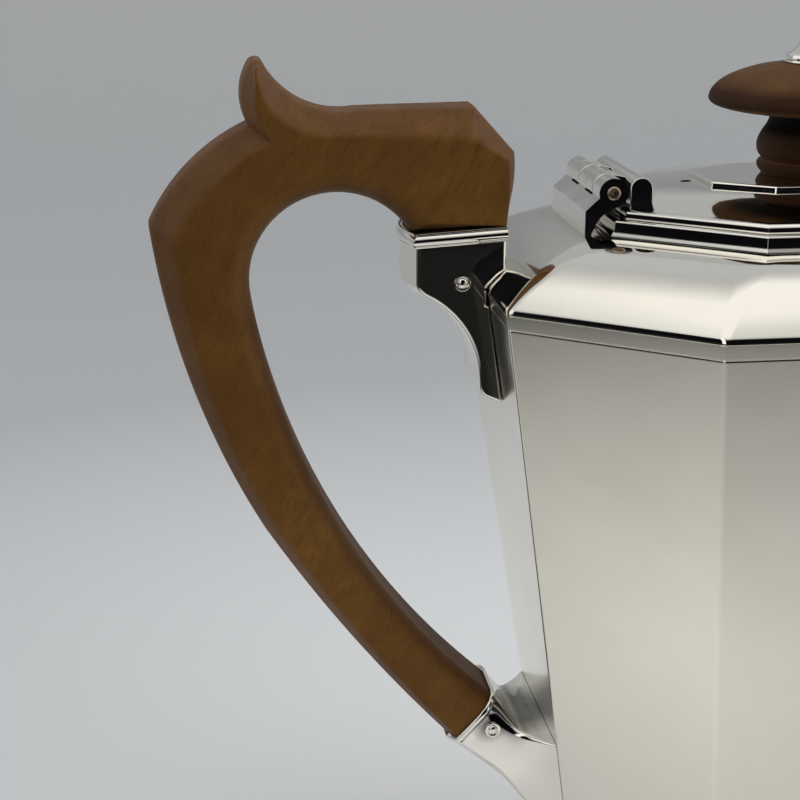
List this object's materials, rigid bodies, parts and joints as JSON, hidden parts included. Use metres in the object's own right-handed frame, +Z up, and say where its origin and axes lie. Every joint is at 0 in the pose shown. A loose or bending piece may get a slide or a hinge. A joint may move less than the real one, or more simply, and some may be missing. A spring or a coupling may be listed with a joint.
{
  "type": "teapot",
  "caption": "Panelled silver teapot with a hinged stepped lid, a cushion shoulder, a spout and a carved wood handle held in riveted sockets.",
  "frame": {"origin": "centre of the foot's underside, on the pot's vertical axis", "axes": "+Z up, +X towards the spout, the handle at -X"},
  "size_m": [0.217, 0.0928, 0.1525],
  "materials": {
    "silver": "polished",
    "handle_wood": "satin",
    "finial_wood": "satin",
    "brass": "satin"
  },
  "bodies": {
    "pot": {"body_wall": "silver", "base_plate": "silver", "foot_rim": "silver", "rim_moulding": "silver", "shoulder": "silver", "spout": "silver", "hinge_stand": "silver", "hinge_pin": "brass", "handle": "handle_wood", "upper_socket": "silver", "upper_socket_band": "silver", "upper_rivet": "silver", "lower_socket": "silver", "lower_socket_band": "silver", "lower_rivet": "silver"},
    "lid": {"lid_shell": "silver", "lid_moulding": "silver", "lid_bezel": "silver", "finial_plate": "silver", "finial_knob": "finial_wood", "finial_button": "silver", "finial_stud": "brass", "finial_washer": "brass", "finial_nut": "brass", "hinge_lid_leaf": "silver"}
  },
  "joints": [
    {"name": "lid_hinge", "type": "hinge", "parent": "pot", "child": "lid", "pos_m": [-0.0362, 0, 0.1263], "axis": [0, -1, 0], "range_deg": [0, 105]}
  ]
}
